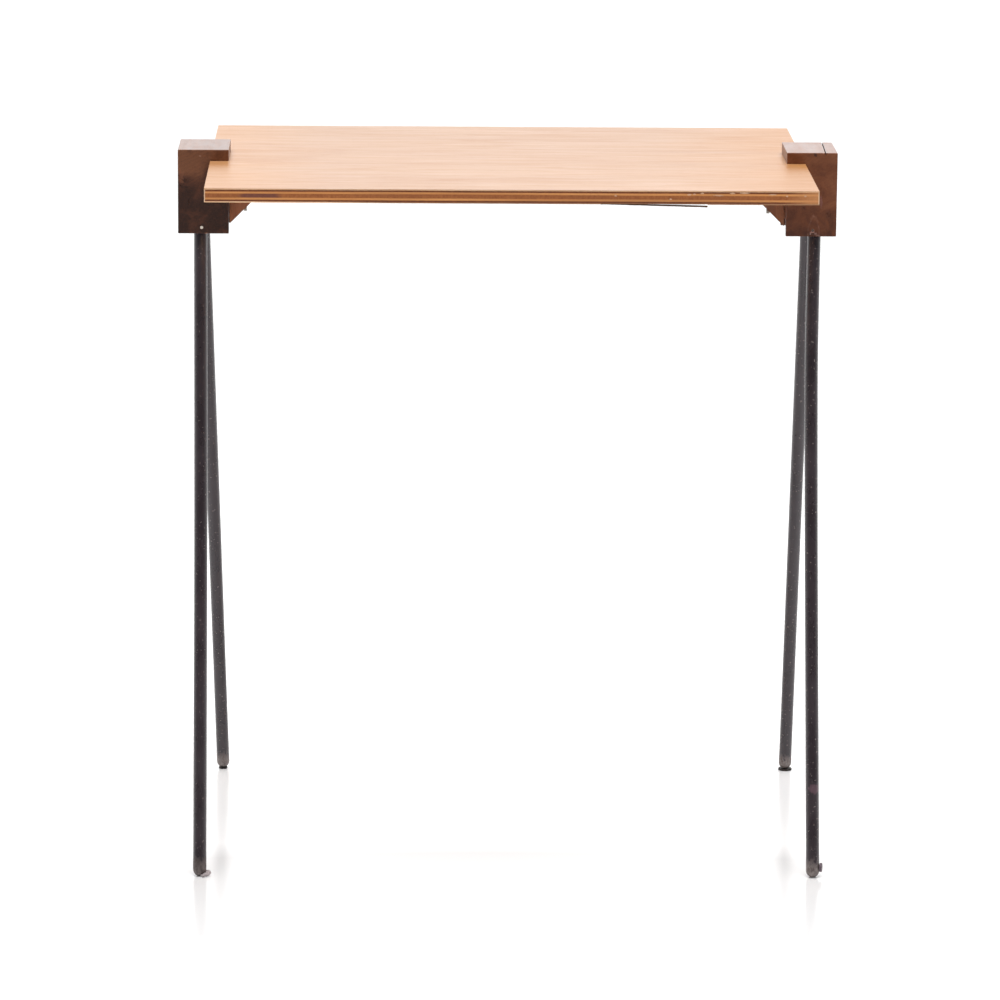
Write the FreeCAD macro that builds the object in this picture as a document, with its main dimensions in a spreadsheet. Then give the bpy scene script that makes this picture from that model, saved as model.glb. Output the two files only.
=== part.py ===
"""Folding tray table: a plywood top carried by two slotted end blocks, each with a folding pair of rod legs.

Row frame: +X runs along the table, +Y to the back, +Z up, with the origin on the floor below the middle.
Everything is drawn for the left end. The right end is the same piece turned half round about Z.
"""
import FreeCAD, Part
import Sketcher
import os

# ---- driving dimensions: alias, value in mm, meaning --------------------------------------------------
DIMENSIONS = [
    ("top_width", "580", "plywood top, left to right"),
    ("top_depth", "424", "plywood top, front to back"),
    ("surface_height", "674", "floor to the top's upper face"),
    ("face_veneer", "1.0", "outermost ply on each side"),
    ("cross_band", "1.7", "ply next to each face veneer"),
    ("inner_ply", "2.0", "ply on each side of the core"),
    ("core_ply", "3.8", "middle ply"),
    ("block_width", "49.5", "end block, outer face to inner face"),
    ("block_depth", "73", "end block, front to back"),
    ("block_height", "82.5", "end block, top to bottom"),
    ("lip_height", "11", "end block above the top's upper face"),
    ("spine_width", "31.5", "end block beyond the end of the top"),
    ("block_round", "0.8", "rounding of the end block's outer edges"),
    ("glue_gap", "0.1", "glue line round the top in its slot"),
    ("cheek", "4", "wood left in front of and behind the hinge pocket"),
    ("rod_diameter", "13", "leg rod"),
    ("rod_headroom", "2.2", "hinge pocket ceiling above the turning rods"),
    ("stop_gap", "0.3", "hinge pocket's outer wall, which is the stop, beyond the upright rods"),
    ("pivot_inset", "23", "hinge pin inward from the block's outer face"),
    ("pivot_rise", "6", "hinge pin above the block's underside"),
    ("fold_gap", "0.4", "least gap between a folded rod and the hinge pocket's cheek"),
    ("foot_spread", "402", "between the two rods' centres at the feet"),
    ("foot_wear", "0.6", "height worn off each rod's round foot"),
    ("left_front_toe_in", "1.8", "foot nearer the middle of the table than its hinge pin, as the rods are hand-set"),
    ("left_rear_toe_in", "12", "the same, left rear"),
    ("right_front_toe_in", "0.5", "the same, right front"),
    ("right_rear_toe_in", "-1.7", "the same, right rear"),
    ("left_front_stand_off", "1.7", "rod's hinge end further out than its pin, as the rods are hand-set"),
    ("left_rear_stand_off", "0.4", "the same, left rear"),
    ("right_front_stand_off", "3.2", "the same, right front"),
    ("right_rear_stand_off", "-1.4", "the same, right rear"),
    ("pin_diameter", "3", "hinge pin"),
    ("pin_recess", "0.3", "pin end below the block's front and back faces"),
    ("running_gap", "0.05", "radial clearance round the hinge pin"),
    ("sleeve_diameter", "8", "hinge sleeve and bushes, outside"),
    ("sleeve_gap", "0.3", "end gap of the sleeve and the bushes"),
    ("foot_pad_diameter", "14.5", "foot pad"),
    ("foot_pad_thickness", "2", "foot pad"),
    ("gusset_lift", "5.8", "gusset's lower point above the block's underside"),
    ("gusset_thickness", "20", "gusset, front to back"),
    ("screw_diameter", "3", "wood screw shank"),
    ("screw_point", "3", "length of the screw's point"),
    ("head_diameter", "5", "wood screw head"),
    ("head_height", "3", "wood screw head"),
    ("slot_width", "0.8", "slot in the screw head, and its depth"),
    ("side_screw_cover", "3.2", "wood between the hinge pocket and the side screw"),
    ("side_screw_bite", "15", "side screw's length inside the block"),
    ("top_screw_cover", "16.5", "gusset wood between the upright screw's head and the top"),
    ("top_screw_bite", "8", "upright screw's length inside the top"),
    ("screw_gap", "0.1", "radial clearance round a screw's shank"),
    ("head_gap", "0.4", "radial clearance round a screw's head"),
]

# ---- places that follow from them -------------------------------------------------------------------
PLACES = [
    ("top_thickness", "2 * (dim.face_veneer + dim.cross_band + dim.inner_ply) + dim.core_ply"),
    ("underside", "dim.surface_height - top_thickness"),
    ("block_top", "dim.surface_height + dim.lip_height"),
    ("block_bottom", "block_top - dim.block_height"),
    ("block_outer", "dim.top_width / 2 + dim.spine_width"),
    ("block_inner", "block_outer - dim.block_width"),
    ("slot_end", "dim.top_width / 2 + dim.glue_gap"),
    ("rod_radius", "dim.rod_diameter / 2"),
    ("pivot_x", "block_outer - dim.pivot_inset"),
    ("pivot_z", "block_bottom + dim.pivot_rise"),
    ("foot_y", "dim.foot_spread / 2"),
    ("foot_z", "dim.foot_pad_thickness + rod_radius - dim.foot_wear"),
    ("rod_rise", "pivot_z - foot_z"),
    ("left_pocket_outer", "pivot_x + rod_radius + dim.left_front_stand_off + dim.stop_gap"),
    ("right_pocket_outer", "pivot_x + rod_radius + dim.right_front_stand_off + dim.stop_gap"),
    ("pocket_top", "pivot_z + rod_radius + dim.rod_headroom"),
    ("pocket_half", "dim.block_depth / 2 - dim.cheek"),
    # a folded rod has spread by this much where it leaves the block, at most
    ("fold_spread", "(pivot_x - block_inner) * foot_y / rod_rise"),
    ("fold_side", "rod_radius * sqrt(1 + foot_y * foot_y / (rod_rise * rod_rise))"),
    ("pivot_y", "pocket_half - dim.fold_gap - fold_side - fold_spread"),
    ("rod_run", "foot_y - pivot_y"),
    ("rod_drop", "sqrt(rod_rise * rod_rise + rod_run * rod_run)"),
    ("rod_side", "rod_radius * rod_drop / rod_rise"),
    ("bore_radius", "dim.pin_diameter / 2 + dim.running_gap"),
    ("shank_bore", "dim.screw_diameter / 2 + dim.screw_gap"),
    ("head_bore", "dim.head_diameter / 2 + dim.head_gap"),
    ("gusset_point", "block_bottom + dim.gusset_lift"),
    ("gusset_leg", "underside - gusset_point"),
    ("side_screw_z", "pocket_top + dim.side_screw_cover + shank_bore"),
    ("side_shank", "side_screw_z - gusset_point"),
    ("side_seat_x", "block_inner - side_shank"),
    ("top_seat_z", "underside - dim.top_screw_cover"),
    ("top_screw_x", "block_inner - gusset_leg + dim.top_screw_cover"),
]

PAST = "5"          # how far a cutting shape runs past the face that it opens, mm
ENDS = {-1: "front", 1: "rear"}
SIDES = {"left": 1, "right": -1}    # which way each end of the table faces along X

X_AXIS = FreeCAD.Vector(1, 0, 0)
Y_AXIS = FreeCAD.Vector(0, 1, 0)
Z_AXIS = FreeCAD.Vector(0, 0, 1)

doc = FreeCAD.newDocument("folding_tray_table")
parts = []          # the sub-parts, in the order they are written


# ---- sheets -----------------------------------------------------------------------------------------
def make_sheets():
    """The driving dimensions go into the sheet dim, and the places worked out from them into the sheet at."""
    dim = doc.addObject("Spreadsheet::Sheet", "dim")
    for row, (alias, value, meaning) in enumerate(DIMENSIONS, start=1):
        dim.set(f"A{row}", alias)
        dim.set(f"B{row}", value)
        dim.set(f"C{row}", meaning)
        dim.setAlias(f"B{row}", alias)
    at = doc.addObject("Spreadsheet::Sheet", "at")
    for row, (alias, formula) in enumerate(PLACES, start=1):
        at.set(f"A{row}", alias)
        at.set(f"B{row}", "=" + formula)
        at.setAlias(f"B{row}", alias)
    doc.recompute()
    return dim, at


dim, at = make_sheets()


def number(formula):
    """The present value of a formula, for a sketch's first guess."""
    return float(dim.evalExpression(formula))


# ---- drawing helpers --------------------------------------------------------------------------------
def bind(thing, **formulas):
    """Tie properties to the sheets. A double underscore in a name stands for a dot."""
    for name, formula in formulas.items():
        thing.setExpression(name.replace("__", "."), formula)
    return thing


def finish(thing, label, side="left"):
    """Name a sub-part, turn it to its end of the table and put it on the list."""
    thing.Label = label
    if side == "right":
        turn = FreeCAD.Rotation(Z_AXIS, 180)
        thing.Placement = FreeCAD.Placement(FreeCAD.Vector(0, 0, 0), turn)
    parts.append(thing)
    return thing


def sketch_on(body, role, name):
    """An empty sketch on one of the body's own origin planes."""
    sketch = body.newObject("Sketcher::SketchObject", name)
    plane = [feature for feature in body.Origin.OriginFeatures if feature.Role == role][0]
    sketch.AttachmentSupport = [(plane, "")]
    sketch.MapMode = "FlatFace"
    return sketch


def fix_point(sketch, edge, end, across, up):
    """Hold one end of a sketch edge at two formulas, measured from the sketch's origin."""
    for kind, formula in (("DistanceX", across), ("DistanceY", up)):
        index = sketch.addConstraint(Sketcher.Constraint(kind, -1, 1, edge, end, number(formula)))
        sketch.setExpression(f"Constraints[{index}]", formula)


def polygon(sketch, corners):
    """A closed outline through corners given as pairs of formulas."""
    spots = [FreeCAD.Vector(number(across), number(up), 0) for across, up in corners]
    count = len(corners)
    for i in range(count):
        sketch.addGeometry(Part.LineSegment(spots[i], spots[(i + 1) % count]), False)
    for i in range(count):
        sketch.addConstraint(Sketcher.Constraint("Coincident", i, 2, (i + 1) % count, 1))
    for i, (across, up) in enumerate(corners):
        fix_point(sketch, i, 1, across, up)


def disc(sketch, across, up, radius):
    """A circle whose centre and radius are formulas."""
    centre = FreeCAD.Vector(number(across), number(up), 0)
    edge = sketch.addGeometry(Part.Circle(centre, Z_AXIS, number(radius)), False)
    fix_point(sketch, edge, 3, across, up)
    index = sketch.addConstraint(Sketcher.Constraint("Radius", edge, number(radius)))
    sketch.setExpression(f"Constraints[{index}]", radius)


def pad(body, sketch, name, length):
    """Thicken a sketch by the same amount on both sides of its plane."""
    feature = body.newObject("PartDesign::Pad", name)
    feature.Profile = sketch
    feature.SideType = "Symmetric"
    bind(feature, Length=length)
    sketch.Visibility = False
    return feature


def pocket(body, sketch, name, length):
    """Cut a sketch by the same amount on both sides of its plane, and check that it cut something."""
    before = body.Shape.Volume
    feature = body.newObject("PartDesign::Pocket", name)
    feature.Profile = sketch
    feature.SideType = "Symmetric"
    bind(feature, Length=length)
    doc.recompute()
    if not body.Shape.Volume < before:
        raise ValueError(f"{name} cuts nothing")
    return feature


def cylinder(name, radius, length, x="0", y="0", z="0", axis=None, angle="0"):
    """A Part cylinder that starts at x, y, z and runs along Z, or along Z turned about an axis."""
    made = doc.addObject("Part::Cylinder", name)
    if axis is not None:
        made.Placement.Rotation = FreeCAD.Rotation(axis, 45)
        bind(made, Placement__Rotation__Angle=angle)
    bind(made, Radius=radius, Height=length, Placement__Base__x=x, Placement__Base__y=y, Placement__Base__z=z)
    return made


def joined(name, shapes):
    """Several shapes fused into one, or kept as they are in one group when they don't touch."""
    made = doc.addObject("Part::MultiFuse", name)
    made.Shapes = shapes
    return made


def group(name, members):
    """Separate solids kept together as one sub-part."""
    made = doc.addObject("Part::Compound", name)
    made.Links = members
    return made


def cut(name, base, tool):
    """Base less tool."""
    made = doc.addObject("Part::Cut", name)
    made.Base = base
    made.Tool = tool
    return made


# ---- plywood top ------------------------------------------------------------------------------------
# each ply's name and thickness, from the upper face down
PLIES = [
    ("top_face_veneer", "dim.face_veneer"),
    ("upper_cross_band", "dim.cross_band"),
    ("upper_inner_ply", "dim.inner_ply"),
    ("core_ply", "dim.core_ply"),
    ("lower_inner_ply", "dim.inner_ply"),
    ("lower_cross_band", "dim.cross_band"),
    ("bottom_face_veneer", "dim.face_veneer"),
]


def screw_holes_in_top():
    """Pilot holes for the upright screws, one near each end of the top."""
    holes = []
    for side, way in SIDES.items():
        name = f"{side}_top_pilot"
        reach = f"{PAST} + dim.top_screw_bite + dim.screw_gap"
        holes.append(cylinder(name, "at.shank_bore", reach, x=f"{-way} * at.top_screw_x", z=f"at.underside - {PAST}"))
    return joined("top_pilots", holes)


def make_top():
    """Seven plies from the upper face down, those that the screws reach with pilot holes."""
    holes = screw_holes_in_top()
    screw_end = number("at.underside + dim.top_screw_bite + dim.screw_gap")
    upper = "dim.surface_height"
    for name, thickness in PLIES:
        upper = f"{upper} - {thickness}"
        sheet = doc.addObject("Part::Box", f"{name}_sheet")
        bind(sheet, Length="dim.top_width", Width="dim.top_depth", Height=thickness)
        bind(sheet, Placement__Base__x="-dim.top_width / 2", Placement__Base__y="-dim.top_depth / 2",
             Placement__Base__z=upper)
        if number(upper) < screw_end:
            sheet = cut(f"{name}_drilled", sheet, holes)
        finish(sheet, name)


# ---- end blocks -------------------------------------------------------------------------------------
def outer_edges(shape):
    """Names of the edges that lie along the edges of the shape's own box."""
    box = shape.BoundBox
    limits = ((box.XMin, box.XMax), (box.YMin, box.YMax), (box.ZMin, box.ZMax))
    names = []
    for index, edge in enumerate(shape.Edges, start=1):
        middle = edge.valueAt((edge.FirstParameter + edge.LastParameter) / 2)
        touching = sum(min(abs(place - low), abs(place - high)) < 1e-6 for place, (low, high) in zip(middle, limits))
        if touching == 2:
            names.append(f"Edge{index}")
    return names


def make_end_block(side):
    """Slotted wooden block: the slot grips the top's end, and the pocket below holds the hinge."""
    body = doc.addObject("PartDesign::Body", f"{side}_block_body")
    profile = sketch_on(body, "XZ_Plane", f"{side}_block_profile")
    polygon(profile, [
        ("-at.block_outer", "at.block_bottom"),
        ("-at.block_inner", "at.block_bottom"),
        ("-at.block_inner", "at.underside - dim.glue_gap"),
        ("-at.slot_end", "at.underside - dim.glue_gap"),
        ("-at.slot_end", "dim.surface_height + dim.glue_gap"),
        ("-at.block_inner", "dim.surface_height + dim.glue_gap"),
        ("-at.block_inner", "at.block_top"),
        ("-at.block_outer", "at.block_top"),
    ])
    blank = pad(body, profile, f"{side}_block_blank", "dim.block_depth")
    doc.recompute()

    rounding = body.newObject("PartDesign::Fillet", f"{side}_block_rounding")
    rounding.Base = (blank, outer_edges(blank.Shape))
    bind(rounding, Radius="dim.block_round")
    doc.recompute()

    opening = sketch_on(body, "XZ_Plane", f"{side}_pocket_outline")
    polygon(opening, [
        (f"-at.{side}_pocket_outer", f"at.block_bottom - {PAST}"),
        (f"{PAST} - at.block_inner", f"at.block_bottom - {PAST}"),
        (f"{PAST} - at.block_inner", "at.pocket_top"),
        (f"-at.{side}_pocket_outer", "at.pocket_top"),
    ])
    pocket(body, opening, f"{side}_hinge_pocket", "2 * at.pocket_half")

    bore = sketch_on(body, "XZ_Plane", f"{side}_pin_bore_outline")
    disc(bore, "-at.pivot_x", "at.pivot_z", "at.bore_radius")
    pocket(body, bore, f"{side}_pin_bore", f"dim.block_depth + {PAST}")

    pilot = cylinder(f"{side}_side_pilot", "at.shank_bore", f"dim.side_screw_bite + dim.screw_gap + {PAST}",
                     x=f"{PAST} - at.block_inner", z="at.side_screw_z", axis=Y_AXIS, angle="-90")
    finish(cut(f"{side}_end_block", body, pilot), f"{side}_end_block", side)


# ---- gussets and their screws -----------------------------------------------------------------------
def make_gusset(side):
    """Triangular corner piece under the top, bored for one screw into the block and one into the top."""
    body = doc.addObject("PartDesign::Body", f"{side}_gusset_body")
    outline = sketch_on(body, "XZ_Plane", f"{side}_gusset_outline")
    polygon(outline, [
        ("-at.block_inner", "at.gusset_point"),
        ("at.gusset_leg - at.block_inner", "at.underside"),
        ("-at.block_inner", "at.underside"),
    ])
    pad(body, outline, f"{side}_gusset_pad", "dim.gusset_thickness")

    side_run = f"at.side_shank + 2 * {PAST}"
    top_run = f"dim.top_screw_cover + 2 * {PAST}"
    bores = joined(f"{side}_gusset_bores", [
        cylinder(f"{side}_side_shank_bore", "at.shank_bore", side_run,
                 x=f"{PAST} - at.side_seat_x", z="at.side_screw_z", axis=Y_AXIS, angle="-90"),
        cylinder(f"{side}_side_spot_face", "at.head_bore", "at.gusset_leg",
                 x="-at.side_seat_x", z="at.side_screw_z", axis=Y_AXIS, angle="90"),
        cylinder(f"{side}_top_shank_bore", "at.shank_bore", top_run,
                 x="-at.top_screw_x", z=f"at.top_seat_z - {PAST}"),
        cylinder(f"{side}_top_spot_face", "at.head_bore", "at.gusset_leg",
                 x="-at.top_screw_x", z="at.top_seat_z", axis=X_AXIS, angle="180"),
    ])
    finish(cut(f"{side}_gusset", body, bores), f"{side}_gusset", side)


def wood_screw(name, length):
    """Slotted screw: seat at the local origin, shank and point along +Z, head below."""
    body = doc.addObject("PartDesign::Body", name)
    half = sketch_on(body, "XZ_Plane", f"{name}_half")
    polygon(half, [
        ("0", length),
        ("dim.screw_diameter / 2", f"{length} - dim.screw_point"),
        ("dim.screw_diameter / 2", "0"),
        ("dim.head_diameter / 2", "0"),
        ("dim.head_diameter / 2", "-dim.head_height"),
        ("0", "-dim.head_height"),
    ])
    turned = body.newObject("PartDesign::Revolution", f"{name}_turned")
    turned.Profile = half
    turned.ReferenceAxis = (half, ["V_Axis"])
    turned.Angle = 360
    doc.recompute()

    slot = sketch_on(body, "XZ_Plane", f"{name}_slot_outline")
    polygon(slot, [
        ("-dim.slot_width / 2", f"-dim.head_height - {PAST}"),
        ("dim.slot_width / 2", f"-dim.head_height - {PAST}"),
        ("dim.slot_width / 2", "dim.slot_width - dim.head_height"),
        ("-dim.slot_width / 2", "dim.slot_width - dim.head_height"),
    ])
    pocket(body, slot, f"{name}_slot", f"dim.head_diameter + {PAST}")
    return body


def make_screws():
    """Two side screws from the gussets into the blocks, and two upright ones into the top."""
    side_screws = []
    top_screws = []
    for side, way in SIDES.items():
        lying = wood_screw(f"{side}_side_screw", "(at.side_shank + dim.side_screw_bite)")
        lying.Placement.Rotation = FreeCAD.Rotation(Y_AXIS, -90 * way)
        bind(lying, Placement__Base__x=f"{-way} * at.side_seat_x", Placement__Base__z="at.side_screw_z")
        side_screws.append(lying)

        upright = wood_screw(f"{side}_top_screw", "(dim.top_screw_cover + dim.top_screw_bite)")
        bind(upright, Placement__Base__x=f"{-way} * at.top_screw_x", Placement__Base__z="at.top_seat_z")
        top_screws.append(upright)
    finish(group("gusset_side_screws", side_screws), "gusset_side_screws")
    finish(group("gusset_top_screws", top_screws), "gusset_top_screws")


# ---- hinges and legs --------------------------------------------------------------------------------
def tube(name, start, length):
    """A length of sleeve tube round the hinge pin, running towards +Y from start."""
    place = {"x": "-at.pivot_x", "z": "at.pivot_z", "axis": X_AXIS, "angle": "-90"}
    outside = cylinder(f"{name}_outside", "dim.sleeve_diameter / 2", length, y=start, **place)
    inside = cylinder(f"{name}_inside", "at.bore_radius", f"{length} + 2 * {PAST}", y=f"{start} - {PAST}", **place)
    return cut(name, outside, inside)


def make_hinge(side):
    """Pin through the block, sleeve between the rods, and a bush between each rod and its cheek."""
    pin = cylinder(f"{side}_pin_rod", "dim.pin_diameter / 2", "dim.block_depth - 2 * dim.pin_recess",
                   x="-at.pivot_x", y="dim.pin_recess - dim.block_depth / 2", z="at.pivot_z",
                   axis=X_AXIS, angle="-90")
    if side == "right":
        bind(pin, Placement__Base__x="at.pivot_x")
    pin.Label = f"{side}_hinge_pin"
    parts.append(pin)

    half = "(at.pivot_y - at.rod_side - dim.sleeve_gap)"
    finish(tube(f"{side}_sleeve_tube", f"-{half}", f"2 * {half}"), f"{side}_hinge_sleeve", side)

    # the rods spread as they go down, so a bush starts clear of the rod at the bush's own lower edge
    spread = "dim.sleeve_diameter / 2 * at.rod_run / at.rod_rise"
    rod_face = f"(at.pivot_y + at.rod_side + {spread} + dim.sleeve_gap)"
    length = f"(at.pocket_half - dim.sleeve_gap - {rod_face})"
    front = tube(f"{side}_front_bush", "dim.sleeve_gap - at.pocket_half", length)
    rear = tube(f"{side}_rear_bush", rod_face, length)
    finish(group(f"{side}_bush_pair", [front, rear]), f"{side}_hinge_bushes", side)


def round_ended_rod(name, centres_apart):
    """A rod with two half-round ends: local origin at the lower end's centre, +Z along the rod."""
    body = doc.addObject("PartDesign::Body", name)
    half = sketch_on(body, "XZ_Plane", f"{name}_half")
    radius = number("at.rod_radius")
    length = number(centres_apart)
    quarter = FreeCAD.Units.Quantity("90 deg").getValueAs("rad").Value
    low = Part.Circle(FreeCAD.Vector(0, 0, 0), Z_AXIS, radius)
    high = Part.Circle(FreeCAD.Vector(0, length, 0), Z_AXIS, radius)
    sketch_edges = [
        Part.ArcOfCircle(low, -quarter, 0),
        Part.LineSegment(FreeCAD.Vector(radius, 0, 0), FreeCAD.Vector(radius, length, 0)),
        Part.ArcOfCircle(high, 0, quarter),
        Part.LineSegment(FreeCAD.Vector(0, length + radius, 0), FreeCAD.Vector(0, -radius, 0)),
    ]
    for edge in sketch_edges:
        half.addGeometry(edge, False)
    for rule in (("Tangent", 0, 2, 1, 1), ("Tangent", 1, 2, 2, 1), ("Coincident", 2, 2, 3, 1),
                 ("Coincident", 3, 2, 0, 1), ("Coincident", 0, 3, -1, 1), ("PointOnObject", 2, 3, -2),
                 ("PointOnObject", 0, 1, -2), ("PointOnObject", 2, 2, -2), ("Vertical", 1)):
        half.addConstraint(Sketcher.Constraint(*rule))
    size = half.addConstraint(Sketcher.Constraint("Radius", 0, radius))
    half.setExpression(f"Constraints[{size}]", "at.rod_radius")
    reach = half.addConstraint(Sketcher.Constraint("DistanceY", -1, 1, 2, 3, length))
    half.setExpression(f"Constraints[{reach}]", centres_apart)

    turned = body.newObject("PartDesign::Revolution", f"{name}_turned")
    turned.Profile = half
    turned.ReferenceAxis = (half, ["V_Axis"])
    turned.Angle = 360
    return body


def make_leg(side, end):
    """One leg rod, cross-bored for the pin and worn flat at the foot, with its pad."""
    way = SIDES[side]
    name = f"{side}_{ENDS[end * way]}"
    toe_in = f"dim.{name}_toe_in"
    lean = f"({toe_in} + dim.{name}_stand_off)"
    rod = round_ended_rod(f"{name}_rod", f"sqrt(at.rod_drop * at.rod_drop + {lean} * {lean})")
    foot = {"x": f"{toe_in} - at.pivot_x", "y": f"{end} * at.foot_y"}
    bind(rod, Placement__Rotation__Pitch=f"-atan({lean} / at.rod_rise)",
         Placement__Rotation__Roll=f"{end} * atan(at.rod_run / sqrt(at.rod_rise * at.rod_rise + {lean} * {lean}))",
         Placement__Base__x=foot["x"], Placement__Base__y=foot["y"], Placement__Base__z="at.foot_z")

    bore = cylinder(f"{name}_rod_bore", "at.bore_radius", "dim.block_depth",
                    x="-at.pivot_x", y="-dim.block_depth / 2", z="at.pivot_z", axis=X_AXIS, angle="-90")
    sole = cylinder(f"{name}_sole_cut", "dim.rod_diameter", PAST, z=f"dim.foot_pad_thickness - {PAST}", **foot)
    finish(cut(f"{name}_leg_cut", rod, joined(f"{name}_leg_cuts", [bore, sole])), f"{name}_leg", side)

    foot_pad = cylinder(f"{name}_pad", "dim.foot_pad_diameter / 2", "dim.foot_pad_thickness",
                        x=f"{way} * ({foot['x']})", y=f"{way} * {foot['y']}")
    foot_pad.Label = f"{name}_foot_pad"
    parts.append(foot_pad)


# ---- build, check and write -------------------------------------------------------------------------
def check():
    """Every object has computed, and every sub-part is a valid solid or group of solids."""
    for thing in doc.Objects:
        if "Invalid" in thing.State or "Error" in thing.State:
            raise ValueError(f"{thing.Label} failed: {thing.State}")
    for part in parts:
        shape = part.Shape
        if shape.isNull() or not shape.isValid() or not shape.Solids:
            raise ValueError(f"{part.Label} has no valid shape")


def write():
    """One STEP file for each sub-part."""
    os.makedirs("parts", exist_ok=True)
    for part in parts:
        part.Shape.exportStep(f"parts/{part.Label}.step")
        print(f"{part.Label}: {len(part.Shape.Solids)} solid(s), {part.Shape.Volume:.1f} mm3")


make_top()
for side in SIDES:
    make_end_block(side)
    make_gusset(side)
make_screws()
for side in SIDES:
    make_hinge(side)
    for end in ENDS:
        make_leg(side, end)
doc.recompute()
check()
write()
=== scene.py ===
"""A folding tray table: a plywood top held in two walnut end blocks, on four black rods that fold under it.

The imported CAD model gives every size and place, in metres. This script gives each piece its finish,
swaps the plain parts for worn ones, and sets up the floor, the lights and the camera.
"""

import math
import random

import bmesh
import bpy
from mathutils import Matrix, Vector


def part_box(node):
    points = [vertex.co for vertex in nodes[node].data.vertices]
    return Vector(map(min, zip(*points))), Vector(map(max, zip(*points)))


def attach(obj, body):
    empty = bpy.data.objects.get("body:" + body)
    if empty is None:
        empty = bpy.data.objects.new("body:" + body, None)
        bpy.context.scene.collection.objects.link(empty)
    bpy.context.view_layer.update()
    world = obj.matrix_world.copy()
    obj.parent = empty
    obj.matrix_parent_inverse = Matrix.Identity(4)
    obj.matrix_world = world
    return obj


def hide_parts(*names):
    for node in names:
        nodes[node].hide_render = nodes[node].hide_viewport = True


BACKDROP_STRENGTH = 1.7
PANEL_WATTS = 95.0
LENS_MM = 190.88
CAMERA_PLACE = (-0.11613, -5.15384, 1.43288)
# Radians: turned about the upright, looking down, and tilted about the line of sight.
CAMERA_TURN, CAMERA_LOOKS_DOWN, CAMERA_TILT = -0.02168, 0.21075, 0.00844

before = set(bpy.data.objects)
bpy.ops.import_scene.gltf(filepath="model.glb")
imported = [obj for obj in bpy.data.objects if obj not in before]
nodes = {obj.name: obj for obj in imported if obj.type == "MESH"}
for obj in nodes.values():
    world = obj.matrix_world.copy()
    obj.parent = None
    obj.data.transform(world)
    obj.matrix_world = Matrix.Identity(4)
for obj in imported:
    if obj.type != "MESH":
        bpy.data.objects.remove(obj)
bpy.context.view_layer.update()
random.seed(20)
scene = bpy.context.scene


# ---------------------------------------------------------------- mixing a finish


def shade(red, green, blue):
    """The linear colour of a paint chip whose chart values run from 0 to 255."""
    chip = (value / 255 for value in (red, green, blue))
    return (*(((value + 0.055) / 1.055) ** 2.4 for value in chip), 1.0)


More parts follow.
